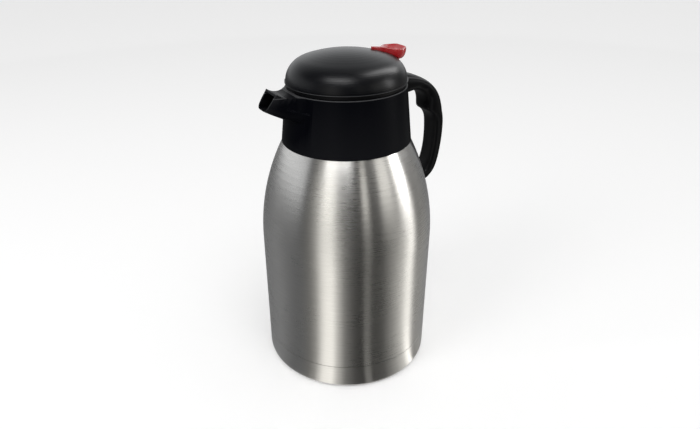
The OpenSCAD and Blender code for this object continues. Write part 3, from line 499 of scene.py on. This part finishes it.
def finish(name, colour, roughness, metallic=0.0, grain=(1, 1, 1), grain_scale=900.0,
           rough_change=0.08, bump=0.02, colour_change=0.06, tone_scale="broad", wear_and_edge_highlight=0.0,
           rim_highlight_heights=None, **sockets):
    """A surface whose gloss, colour and relief change with noise on object coordinates. The edge
    value lightens the edges, partly as wear and partly as a painted highlight, and the two heights,
    in mm, mark a band that is lightened all round as a painted highlight line along a moulded rim."""
    material = bpy.data.materials.new(name)
    material.use_nodes = True
    tree = material.node_tree
    nodes, links = tree.nodes, tree.links
    shader = nodes["Principled BSDF"]
    shader.inputs["Metallic"].default_value = metallic
    for key, value in sockets.items():
        shader.inputs[key.replace("_", " ")].default_value = value

    place = nodes.new("ShaderNodeTexCoord")
    stretch = nodes.new("ShaderNodeMapping")
    stretch.inputs["Scale"].default_value = grain
    links.new(place.outputs["Object"], stretch.inputs["Vector"])
    fine = nodes.new("ShaderNodeTexNoise")
    fine.inputs["Scale"].default_value = grain_scale
    fine.inputs["Detail"].default_value = 3.0
    links.new(stretch.outputs["Vector"], fine.inputs["Vector"])
    broad = nodes.new("ShaderNodeTexNoise")
    broad.inputs["Scale"].default_value = 28.0
    broad.inputs["Detail"].default_value = 4.0
    links.new(place.outputs["Object"], broad.inputs["Vector"])

    gloss = maths(tree, "ADD", fine.outputs["Fac"], broad.outputs["Fac"])
    rough = nodes.new("ShaderNodeMapRange")
    rough.inputs["From Min"].default_value = 0.6
    rough.inputs["From Max"].default_value = 1.4
    rough.inputs["To Min"].default_value = roughness - rough_change
    rough.inputs["To Max"].default_value = roughness + rough_change
    links.new(gloss, rough.inputs["Value"])
    links.new(rough.outputs["Result"], shader.inputs["Roughness"])

    tone = nodes.new("ShaderNodeValToRGB")
    low, high = tone.color_ramp.elements
    low.position, high.position = 0.3, 0.7
    low.color = [c * (1 - colour_change) for c in colour] + [1]
    high.color = [min(1.0, c * (1 + colour_change)) for c in colour] + [1]
    links.new((fine if tone_scale == "fine" else broad).outputs["Fac"], tone.inputs["Fac"])
    base = tone.outputs["Color"]
    # Pointiness lightens the edges in the base colour: partly wear, partly a painted highlight
    # along them.
    if wear_and_edge_highlight:
        edge = nodes.new("ShaderNodeNewGeometry")
        edge_wear_and_highlight = nodes.new("ShaderNodeMapRange")
        edge_wear_and_highlight.inputs["From Min"].default_value = 0.52
        edge_wear_and_highlight.inputs["From Max"].default_value = 0.62
        edge_wear_and_highlight.inputs["To Max"].default_value = wear_and_edge_highlight
        links.new(edge.outputs["Pointiness"], edge_wear_and_highlight.inputs["Value"])
        share = edge_wear_and_highlight.outputs["Result"]
        # A band of heights lightened all round in the base colour: a painted highlight line along a
        # rim.
        if rim_highlight_heights:
            share = painted_rim_highlight(tree, place, share, rim_highlight_heights)
        lighten = nodes.new("ShaderNodeMix")
        lighten.data_type = "RGBA"
        lighten.inputs["B"].default_value = [min(1.0, c * 2 + 0.05) for c in colour] + [1]
        links.new(share, lighten.inputs["Factor"])
        links.new(base, lighten.inputs["A"])
        base = lighten.outputs["Result"]
    links.new(base, shader.inputs["Base Color"])

    relief = nodes.new("ShaderNodeBump")
    relief.inputs["Strength"].default_value = bump
    relief.inputs["Distance"].default_value = 0.0003
    links.new(fine.outputs["Fac"], relief.inputs["Height"])
    links.new(relief.outputs["Normal"], shader.inputs["Normal"])
    return material


def brushed(name, colour, roughness, **values):
    """Steel brushed ring-wise about the axis."""
    material = finish(name, colour, roughness, metallic=1.0, grain=(0.06, 0.06, 3.0),
                      grain_scale=1300.0, tone_scale="fine", Anisotropic_Rotation=0.25, **values)
    nodes, links = material.node_tree.nodes, material.node_tree.links
    ring = nodes.new("ShaderNodeTangent")
    ring.direction_type, ring.axis = "RADIAL", "Z"
    links.new(ring.outputs["Tangent"], nodes["Principled BSDF"].inputs["Tangent"])
    return material


# %% The finishes of this carafe
STEEL = (0.62, 0.61, 0.595)
# Heights of the painted highlight line along the dome's foot.
DOME_FOOT = (240.65, 241.05)
body_steel = brushed("body_steel", STEEL, 0.28, rough_change=0.02, bump=0.004,
                     colour_change=0.08, Anisotropic=0.88)
cup_steel = brushed("cup_steel", STEEL, 0.3, rough_change=0.02, bump=0.004,
                    colour_change=0.08, Anisotropic=0.88)
liner_steel = brushed("liner_steel", (0.62, 0.62, 0.61), 0.3, rough_change=0.06, bump=0.1,
                      colour_change=0.08, Anisotropic=0.5)
small_steel = finish("small_steel", (0.6, 0.6, 0.6), 0.34, metallic=1.0, grain_scale=2200.0,
                     rough_change=0.1, bump=0.05, wear_and_edge_highlight=0.3)
# The collar's edges and the band just under its rim are lightened: a painted highlight, partly wear
# at the edges.
collar_black = finish("collar_black", (0.001, 0.0012, 0.0024), 0.36, grain_scale=2400.0,
                      rough_change=0.04, bump=0.05, wear_and_edge_highlight=0.3, rim_highlight_heights=(RIM_Z - 0.75, RIM_Z - 0.15),
                      Specular_IOR_Level=0.025)
handle_black = finish("handle_black", (0.0013, 0.0014, 0.002), 0.36, grain_scale=2400.0,
                      rough_change=0.05, bump=0.06, wear_and_edge_highlight=0.15, Specular_IOR_Level=0.06)
cover_black = finish("cover_black", (0.002, 0.0021, 0.003), 0.40, grain_scale=2000.0,
                     rough_change=0.05, bump=0.08, wear_and_edge_highlight=0.15, Specular_IOR_Level=0.12)
# The dome's foot carries a painted highlight line, and its edges a faint painted highlight.
dome_black = finish("dome_black", (0.0012, 0.0015, 0.0028), 0.34, grain_scale=2600.0,
                    rough_change=0.03, bump=0.04, wear_and_edge_highlight=0.05, rim_highlight_heights=DOME_FOOT,
                    Specular_IOR_Level=0.2)
stopper_black = finish("stopper_black", (0.0013, 0.0014, 0.002), 0.42, grain_scale=1800.0,
                       rough_change=0.06, bump=0.06, wear_and_edge_highlight=0.05, Specular_IOR_Level=0.1)
valve_grey = finish("valve_grey", (0.10, 0.10, 0.11), 0.45, grain_scale=1800.0,
                    rough_change=0.06, bump=0.06, wear_and_edge_highlight=0.2)
lever_red = finish("lever_red", (0.40, 0.012, 0.016), 0.24, grain_scale=2600.0,
                   rough_change=0.04, bump=0.04, colour_change=0.05, wear_and_edge_highlight=0.15,
                   Specular_IOR_Level=0.8)
silicone = finish("silicone", (0.74, 0.74, 0.71), 0.5, grain_scale=1400.0, rough_change=0.08,
                  bump=0.05, colour_change=0.03, Subsurface_Weight=0.15)
foot_rubber = finish("foot_rubber", (0.02, 0.02, 0.02), 0.75, grain_scale=1200.0,
                     rough_change=0.08, bump=0.15, wear_and_edge_highlight=0.3)
getter_grey = finish("getter_grey", (0.32, 0.32, 0.33), 0.5, metallic=1.0, grain_scale=1500.0,
                     rough_change=0.1, bump=0.1, wear_and_edge_highlight=0.2)

finish_of = {
    "outer_shell": body_steel, "base_cup": cup_steel, "inner_liner": liner_steel,
    "foot_ring": foot_rubber, "evacuation_seal": getter_grey, "getter": getter_grey,
    "neck_gasket": silicone, "foot_bracket": small_steel, "handle_screws": small_steel,
    "stopper_ring": silicone, "stopper": stopper_black, "lid_dome": dome_black,
    "lid_screws": small_steel, "lever_pin": small_steel, "valve_stem": valve_grey,
    "valve_seal": silicone, "stem_cap": valve_grey, "return_spring": small_steel}
for node, material in finish_of.items():
    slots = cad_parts[node].data.materials
    slots.clear()
    slots.append(material)
for piece, material in ((collar, collar_black), (handle, handle_black), (cover, cover_black),
                        (lever, lever_red), (hub, lever_red)):
    piece.data.materials.clear()
    piece.data.materials.append(material)
print("finishes:", len(bpy.data.materials))

# %% [markdown]
# ## Camera, floor and light
#
# The camera stands where the fit of the body's outline put it: a little above the dome and to the
# spout's side of the handle. The light is a soft studio: a pale world and two soft boxes.

# %% Camera
PHOTO_WIDTH, FOCAL, ASIDE, SENSOR = 700, 565.39, 30, 36.0  # pixels, and mm for the sensor
VIEW_HEADING, VIEW_DROP, VIEW_ROLL = (math.radians(a) for a in (26.011, 27.949, -1.437))
camera_data = bpy.data.cameras.new("camera")
camera_data.sensor_width = SENSOR
camera_data.lens = FOCAL / PHOTO_WIDTH * SENSOR
camera_data.shift_x = ASIDE / PHOTO_WIDTH
camera = bpy.data.objects.new("camera", camera_data)
bpy.context.scene.collection.objects.link(camera)
turn = (Matrix.Rotation(-VIEW_HEADING, 4, "Z") @ Matrix.Rotation(math.pi / 2 - VIEW_DROP, 4, "X")
        @ Matrix.Rotation(VIEW_ROLL, 4, "Z"))
camera.matrix_world = Matrix.Translation(Vector((-203.6, -367.3, 349.8)) * MM) @ turn
bpy.context.scene.camera = camera

# %% Floor and world
def seen_and_lighting(tree, seen, lighting):
    """One strength for rays that the camera, gloss or glass sends, and another for the rest."""
    path = tree.nodes.new("ShaderNodeLightPath")
    direct = maths(tree, "MAXIMUM", path.outputs["Is Camera Ray"],
                   path.outputs["Is Transmission Ray"])
    span = tree.nodes.new("ShaderNodeMapRange")
    span.inputs["To Min"].default_value = lighting
    span.inputs["To Max"].default_value = seen
    tree.links.new(maths(tree, "MAXIMUM", direct, path.outputs["Is Glossy Ray"]),
                   span.inputs["Value"])
    return span.outputs["Result"]


world = bpy.data.worlds.new("studio")
bpy.context.scene.world = world
world.use_nodes = True
backdrop = world.node_tree.nodes["Background"]
backdrop.inputs["Color"].default_value = (1.0, 1.0, 1.0, 1.0)
world.node_tree.links.new(seen_and_lighting(world.node_tree, 1.0, 0.7),
                          backdrop.inputs["Strength"])

start_fresh()
bpy.ops.mesh.primitive_plane_add(size=20.0)
floor = named("floor")
floor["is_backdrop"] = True
paper = bpy.data.materials.new("paper")
paper.use_nodes = True
sheet = paper.node_tree.nodes["Principled BSDF"]
sheet.inputs["Base Color"].default_value = (0.9, 0.9, 0.9, 1)
sheet.inputs["Roughness"].default_value = 0.9
sheet.inputs["Specular IOR Level"].default_value = 0.2
sheet.inputs["Emission Color"].default_value = (1.0, 1.0, 1.0, 1)
paper.node_tree.links.new(seen_and_lighting(paper.node_tree, 0.15, 0.0),
                          sheet.inputs["Emission Strength"])
floor.data.materials.append(paper)

# %% Lamps for the matt colours
CAMERA_SIDE = math.radians(29)


def around(turn, distance, height):
    """A place round the carafe: turn is in degrees to the right of the camera's side."""
    a = CAMERA_SIDE + math.pi - math.radians(turn)
    return Vector((math.sin(a) * distance, math.cos(a) * distance, height))


def soft_box(name, turn, distance, height, size, power):
    lamp = bpy.data.lights.new(name, "AREA")
    lamp.shape, lamp.size, lamp.size_y, lamp.energy = "RECTANGLE", size[0], size[1], power
    box = bpy.data.objects.new(name, lamp)
    bpy.context.scene.collection.objects.link(box)
    place = around(turn, distance, height)
    aim = Vector((0, 0, 0.15)) - place
    box.matrix_world = Matrix.Translation(place) @ aim.to_track_quat("-Z", "Y").to_matrix().to_4x4()
    box.visible_glossy = False


soft_box("left_box", -50, 1.3, 1.0, (0.6, 0.8), 5)
soft_box("top_box", 20, 0.8, 1.8, (1.0, 1.0), 7)

# %% [markdown]
# Steel and black plastic look like what they reflect. A product photographer hangs a tent of paper
# round such an object, with bright and dark panels in it. The tent here is a spun sheet that only
# gloss can see, so it lights nothing, shades nothing and is never in the picture. Its panels run
# out along the floor too, because a camera that looks down sees the floor in an upright wall.

# %% The tent that gloss sees
BODY_R = 0.07
BRIGHTEST = 3.0
WARM, COOL = (1.0, 0.985, 0.93), (0.97, 0.985, 1.0)
WARM_FROM, WARM_TO = -58, 125


def glowing(name, strength):
    """A new material that only shines, its nodes and the shining node."""
    paper = bpy.data.materials.new(name)
    paper.use_nodes = True
    tree = paper.node_tree
    tree.nodes.remove(tree.nodes["Principled BSDF"])
    shine = tree.nodes.new("ShaderNodeEmission")
    shine.inputs["Strength"].default_value = strength
    tree.links.new(shine.outputs["Emission"], tree.nodes["Material Output"].inputs["Surface"])
    return paper, tree, shine


def panels(name, stops):
    """Paper that shines by direction. stops holds (degrees to the right of the camera's side, as
    a reflected ray leaves the body, and strength)."""
    paper, tree, shine = glowing(name, BRIGHTEST)
    place = tree.nodes.new("ShaderNodeTexCoord")
    flat = tree.nodes.new("ShaderNodeMapping")
    flat.inputs["Rotation"].default_value = (0, 0, math.pi / 2 + CAMERA_SIDE)
    flat.inputs["Scale"].default_value = (1, 1, 0)
    tree.links.new(place.outputs["Object"], flat.inputs["Vector"])
    apart = tree.nodes.new("ShaderNodeSeparateXYZ")
    tree.links.new(flat.outputs["Vector"], apart.inputs["Vector"])
    reach = tree.nodes.new("ShaderNodeVectorMath")
    reach.operation = "LENGTH"
    tree.links.new(flat.outputs["Vector"], reach.inputs[0])
    bearing = maths(tree, "ARCTAN2", apart.outputs["Y"], apart.outputs["X"])
    # a ray leaves the body beside its axis, so it lands short of its own heading: two guesses
    heading = bearing
    for _ in range(2):
        beside = maths(tree, "SINE", maths(tree, "DIVIDE", heading, 2.0))
        share = maths(tree, "DIVIDE", maths(tree, "MULTIPLY", beside, BODY_R),
                      reach.outputs["Value"])
        heading = maths(tree, "ADD", bearing, maths(tree, "ARCSINE", share))
    ramp = tree.nodes.new("ShaderNodeValToRGB")
    tree.links.new(maths(tree, "ADD", maths(tree, "DIVIDE", heading, math.tau), 0.5),
                   ramp.inputs["Fac"])
    marks = ramp.color_ramp.elements
    while len(marks) < len(stops):
        marks.new(0.5)
    for mark, (degrees, strength) in zip(marks, sorted(stops)):
        mark.position = degrees / 360 + 0.5
        tint = WARM if WARM_FROM < degrees < WARM_TO else COOL
        mark.color = [strength / BRIGHTEST * c for c in tint] + [1]
    tree.links.new(ramp.outputs["Color"], shine.inputs["Color"])
    paper.cycles.emission_sampling = "NONE"
    return paper


def seen_by_gloss_only(sheet, paper):
    sheet.data.materials.append(paper)
    sheet.visible_camera = sheet.visible_diffuse = sheet.visible_shadow = False
    sheet.visible_transmission = False
    sheet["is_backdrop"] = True


floor_panels = [(-180, 0.2), (-140, 0.2), (-107, 0.27), (-75, 0.15), (-62, 0.16), (-50, 0.2),
                (-41, 0.4), (-30, 1.35), (-19, 1.5), (-12, 0.75), (-2, 0.22), (5, 0.12), (13, 0.05),
                (23, 0.03), (26, 0.22), (31, 0.22), (35, 0.06), (52, 0.08), (62, 0.22), (72, 0.42),
                (84, 0.75), (92, 1.6), (97, 2.2), (102, 0.4), (108, 0.2), (120, 0.35),
                (143, 0.28), (180, 0.2)]
BELT_SHARE = 0.7
belt_panels = [(turn, strength * BELT_SHARE) for turn, strength in floor_panels]
wall_panels = [(-180, 1.2), (-130, 1.1), (-100, 1.1), (-78, 1.1), (-67, 0.9), (-58, 0.16),
               (-48, 0.35), (-38, 0.8), (-28, 1.7), (-18, 1.3), (-11, 0.3), (-4, 0.08), (13, 0.04),
               (21, 0.06), (24, 1.4), (29, 1.4), (32, 0.08), (47, 0.13), (52, 1.4), (66, 1.4),
               (70, 0.35), (75, 0.4), (78, 2.4), (86, 2.4), (90, 0.3), (106, 0.15), (120, 0.1),
               (135, 0.3), (150, 1.2), (180, 1.2)]
roof_panels = [(-180, 0.7), (-140, 0.7), (-100, 0.12), (100, 0.12), (140, 0.7), (180, 0.7)]
TENT_R, BELT_TOP, WALL_TOP, ROOF_Z = 1500, 200, 1000, 1500
for name, outline, stops in (
        ("tent_floor", [(71, 1), (400, 1)], floor_panels),
        ("tent_belt", [(400, 1), (TENT_R, 1), (TENT_R, BELT_TOP)], belt_panels),
        ("tent_wall", [(TENT_R, BELT_TOP), (TENT_R, WALL_TOP)], wall_panels),
        ("tent_roof", [(TENT_R, WALL_TOP), (900, ROOF_Z), (0.1, ROOF_Z)], roof_panels)):
    seen_by_gloss_only(spin_up(name, outline, 96), panels(name, stops))


# %% Three strips that put highlights on the dome
STRIP_AWAY, DOME_MIDDLE = 1.2, Vector((0, 0, 0.25))


def strip(name, stops, width, strength):
    """A bright strip round the dome. stops holds (angle round, angle up) along it."""
    start_fresh()
    bpy.ops.mesh.primitive_grid_add(x_subdivisions=len(stops) - 1, y_subdivisions=1)
    sheet = named(name)
    ways = [around(turn, math.cos(math.radians(rise)), math.sin(math.radians(rise)))
            for turn, rise in stops]
    for k, way in enumerate(ways):
        along = ways[min(k + 1, len(ways) - 1)] - ways[max(k - 1, 0)]
        across = way.cross(along).normalized() * width / 2
        for row, side in ((0, -1), (1, 1)):
            middle = DOME_MIDDLE + way * STRIP_AWAY
            sheet.data.vertices[row * len(ways) + k].co = middle + across * side
    paper = glowing(name, strength)[0]
    paper.cycles.emission_sampling = "FRONT_BACK"
    seen_by_gloss_only(sheet, paper)


strip("left_strip", [(-45, 49), (-28, 52), (-8, 52), (12, 49)], 0.32, 12.0)
strip("right_strip", [(71, 63), (95, 57), (114, 48), (128, 23)], 0.3, 10.0)
strip("side_strip", [(87, 0), (87, 24)], 0.24, 9.0)
bpy.context.scene.view_settings.view_transform = "Standard"

# %% Write the sizes and finish
model_box = [list(corner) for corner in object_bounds()]
grown = [round((m - c) / MM, 1) for cad, model in zip(cad_box, model_box)
         for c, m in zip(cad, model)]
print("model box beyond the CAD box, mm:", grown)
